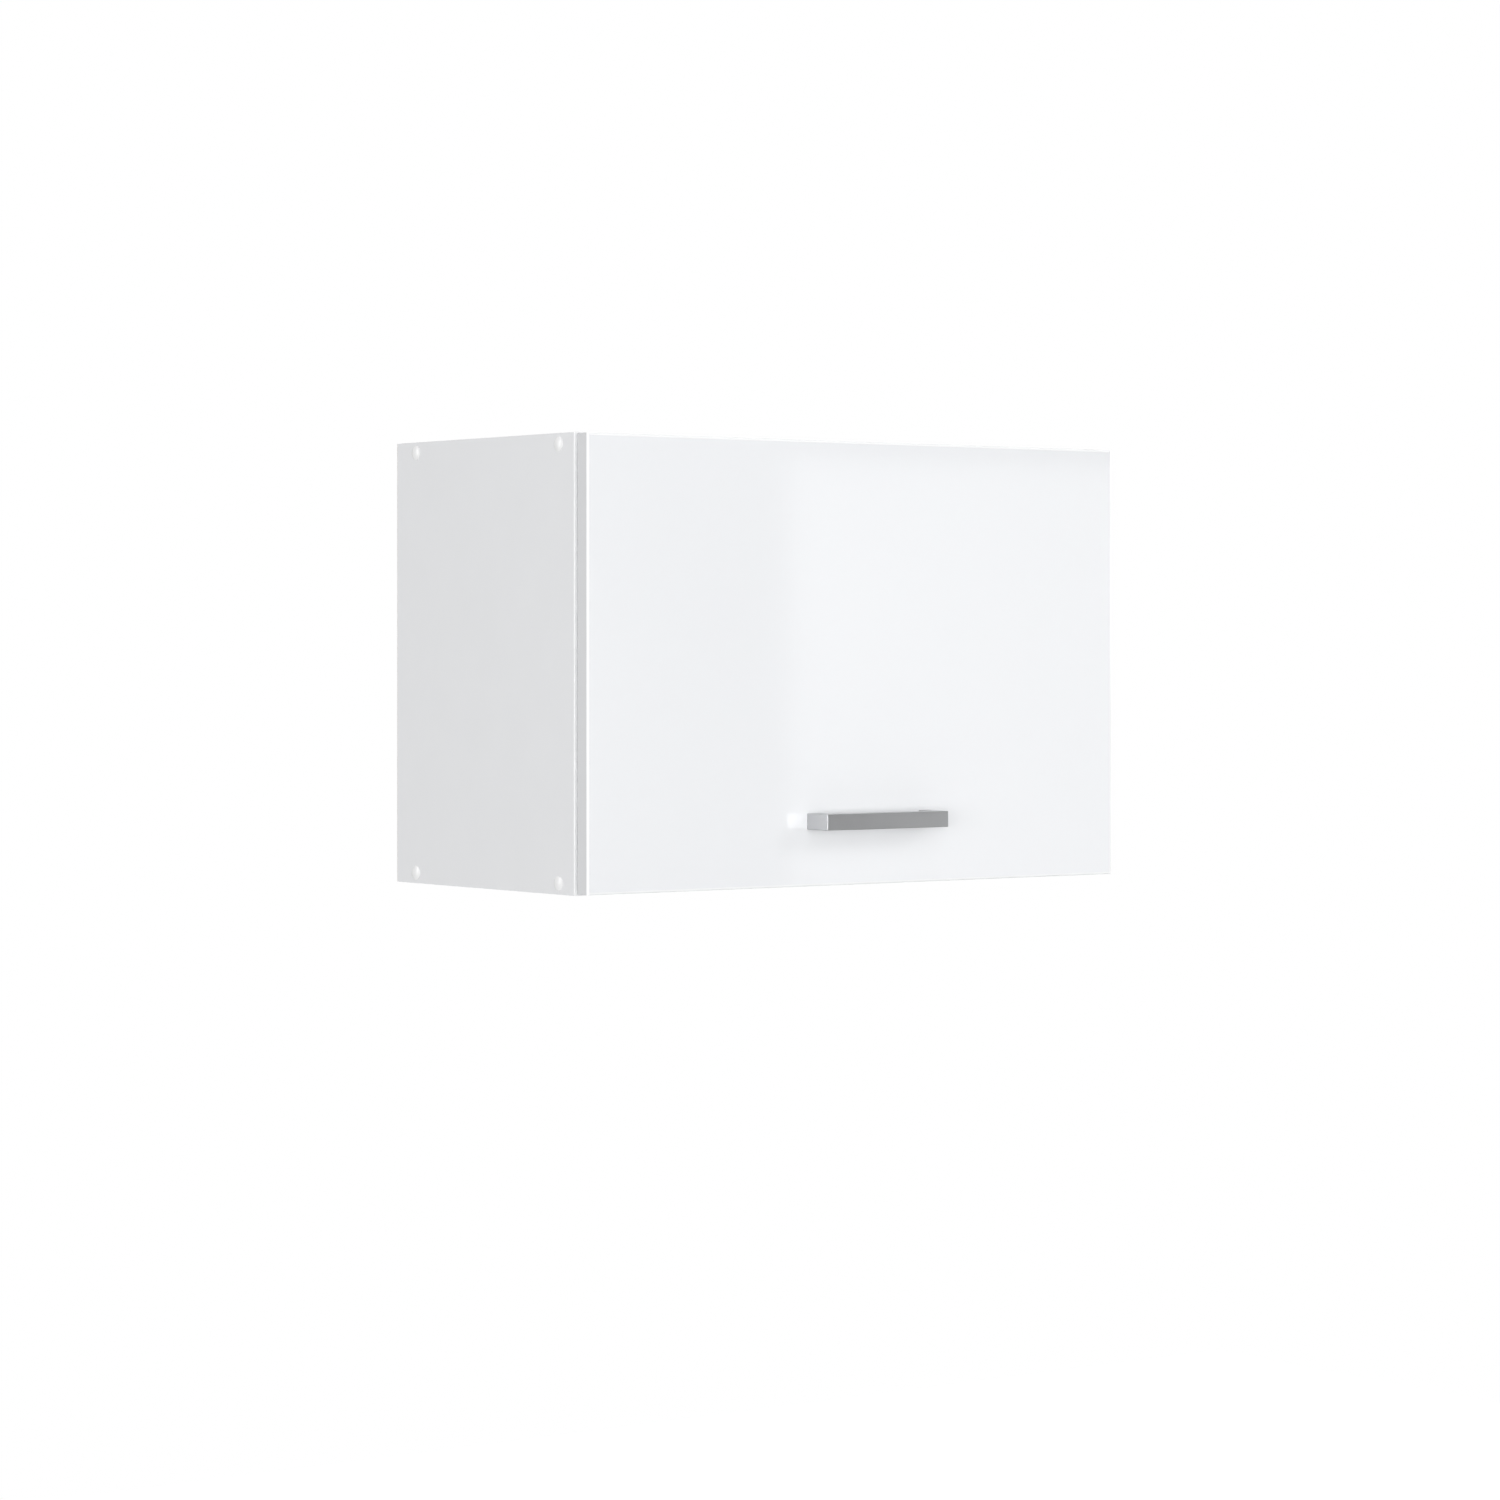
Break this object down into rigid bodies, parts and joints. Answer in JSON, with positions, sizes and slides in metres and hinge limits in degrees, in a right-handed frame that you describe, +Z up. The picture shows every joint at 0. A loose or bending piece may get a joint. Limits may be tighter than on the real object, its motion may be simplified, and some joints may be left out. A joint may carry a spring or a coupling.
{
  "type": "wall cabinet with lift-up door",
  "caption": "Box-shaped wall cabinet whose front door lifts about its top edge on cup hinges and spring stays, with a bow handle and hidden wall hangers.",
  "frame": {"origin": "on the wall, at the centre of the four wall screws", "axes": "+X to the right as seen from the front, +Y into the wall, +Z up"},
  "size_m": [0.6038, 0.334, 0.4],
  "materials": {
    "carcass_board": "white melamine faced chipboard, satin",
    "back_board": "white lacquered thin fibreboard",
    "carcass_band": "white plastic edge band",
    "door_board": "white high-gloss laminated board",
    "door_band": "white gloss plastic edge band",
    "handle_metal": "satin grey",
    "cap_plastic": "white plastic",
    "dowel_wood": "beech",
    "bumper_rubber": "clear soft plastic",
    "spring_steel": "oiled spring steel",
    "stay_plastic": "light grey moulded plastic",
    "hanger_plastic": "white moulded plastic",
    "plate_steel": "zinc plated",
    "screw_steel": "zinc plated",
    "hinge_steel": "nickel plated"
  },
  "bodies": {
    "cabinet": {"back_panel": "back_board", "bottom_edge_band": "carcass_band", "bottom_panel": "carcass_board", "connecting_screws": "screw_steel", "door_bumpers": "bumper_rubber", "hanger_adjusting_screws": "screw_steel", "hanger_fixing_screws": "screw_steel", "hanger_hook_left": "plate_steel", "hanger_hook_right": "plate_steel", "hanger_housing_left": "hanger_plastic", "hanger_housing_right": "hanger_plastic", "hinge_arm_left": "hinge_steel", "hinge_arm_right": "hinge_steel", "hinge_arm_screws": "screw_steel", "hinge_plate_left": "hinge_steel", "hinge_plate_right": "hinge_steel", "hinge_plate_screws": "screw_steel", "screw_cover_caps": "cap_plastic", "side_edge_band_left": "carcass_band", "side_edge_band_right": "carcass_band", "side_panel_left": "carcass_board", "side_panel_right": "carcass_board", "stay_cover_left": "stay_plastic", "stay_cover_right": "stay_plastic", "stay_housing_left": "stay_plastic", "stay_housing_right": "stay_plastic", "stay_housing_screws": "screw_steel", "stay_spring_left": "spring_steel", "stay_spring_right": "spring_steel", "top_edge_band": "carcass_band", "top_panel": "carcass_board", "wall_plate_left": "plate_steel", "wall_plate_right": "plate_steel", "wood_dowels": "dowel_wood"},
    "door": {"door_panel": "door_board", "door_edge_band_left": "door_band", "door_edge_band_right": "door_band", "door_edge_band_top": "door_band", "door_edge_band_bottom": "door_band", "handle": "handle_metal", "handle_screws": "screw_steel", "hinge_cup_left": "hinge_steel", "hinge_cup_right": "hinge_steel", "hinge_cup_screws": "screw_steel", "stay_bracket_left": "hinge_steel", "stay_bracket_right": "hinge_steel", "stay_bracket_screws": "screw_steel"},
    "hinge_outer_link_left": {"hinge_outer_link_left": "hinge_steel"},
    "hinge_inner_link_left": {"hinge_inner_link_left": "hinge_steel"},
    "stay_arm_left": {"stay_arm_left": "hinge_steel"},
    "stay_link_left": {"stay_link_left": "hinge_steel"},
    "hinge_outer_link_right": {"hinge_outer_link_right": "hinge_steel"},
    "hinge_inner_link_right": {"hinge_inner_link_right": "hinge_steel"},
    "stay_arm_right": {"stay_arm_right": "hinge_steel"},
    "stay_link_right": {"stay_link_right": "hinge_steel"}
  },
  "joints": [
    {"name": "door_lift", "type": "hinge", "parent": "cabinet", "child": "door", "pos_m": [0, -0.3, 0.058], "axis": [-1, 0, 0], "range_deg": [0, 90]},
    {"name": "hinge_outer_link_left_turn", "type": "hinge", "parent": "cabinet", "child": "hinge_outer_link_left", "pos_m": [-0.19, -0.29212, 0.03746], "axis": [1, 0, 0], "range_deg": [0, 26.88]},
    {"name": "hinge_inner_link_left_turn", "type": "hinge", "parent": "cabinet", "child": "hinge_inner_link_left", "pos_m": [-0.19, -0.29637, 0.03935], "axis": [1, 0, 0], "range_deg": [0, 42.34]},
    {"name": "stay_arm_left_turn", "type": "hinge", "parent": "cabinet", "child": "stay_arm_left", "pos_m": [-0.261, -0.26, 0.028], "axis": [-1, 0, 0], "range_deg": [0, 90]},
    {"name": "stay_link_left_turn", "type": "hinge", "parent": "stay_arm_left", "child": "stay_link_left", "pos_m": [-0.257, -0.24, -0.082], "axis": [-1, 0, 0], "range_deg": [-90, 0]},
    {"name": "hinge_outer_link_right_turn", "type": "hinge", "parent": "cabinet", "child": "hinge_outer_link_right", "pos_m": [0.19, -0.29212, 0.03746], "axis": [1, 0, 0], "range_deg": [0, 26.88]},
    {"name": "hinge_inner_link_right_turn", "type": "hinge", "parent": "cabinet", "child": "hinge_inner_link_right", "pos_m": [0.19, -0.29637, 0.03935], "axis": [1, 0, 0], "range_deg": [0, 42.34]},
    {"name": "stay_arm_right_turn", "type": "hinge", "parent": "cabinet", "child": "stay_arm_right", "pos_m": [0.261, -0.26, 0.028], "axis": [-1, 0, 0], "range_deg": [0, 90]},
    {"name": "stay_link_right_turn", "type": "hinge", "parent": "stay_arm_right", "child": "stay_link_right", "pos_m": [0.257, -0.24, -0.082], "axis": [-1, 0, 0], "range_deg": [-90, 0]}
  ],
  "couplings": [
    {"joint": "hinge_outer_link_left_turn", "follows": "door_lift", "ratio": 0.29861},
    {"joint": "hinge_inner_link_left_turn", "follows": "door_lift", "ratio": 0.47036},
    {"joint": "stay_arm_left_turn", "follows": "door_lift", "ratio": 1},
    {"joint": "stay_link_left_turn", "follows": "door_lift", "ratio": -1},
    {"joint": "hinge_outer_link_right_turn", "follows": "door_lift", "ratio": 0.29861},
    {"joint": "hinge_inner_link_right_turn", "follows": "door_lift", "ratio": 0.47036},
    {"joint": "stay_arm_right_turn", "follows": "door_lift", "ratio": 1},
    {"joint": "stay_link_right_turn", "follows": "door_lift", "ratio": -1}
  ]
}
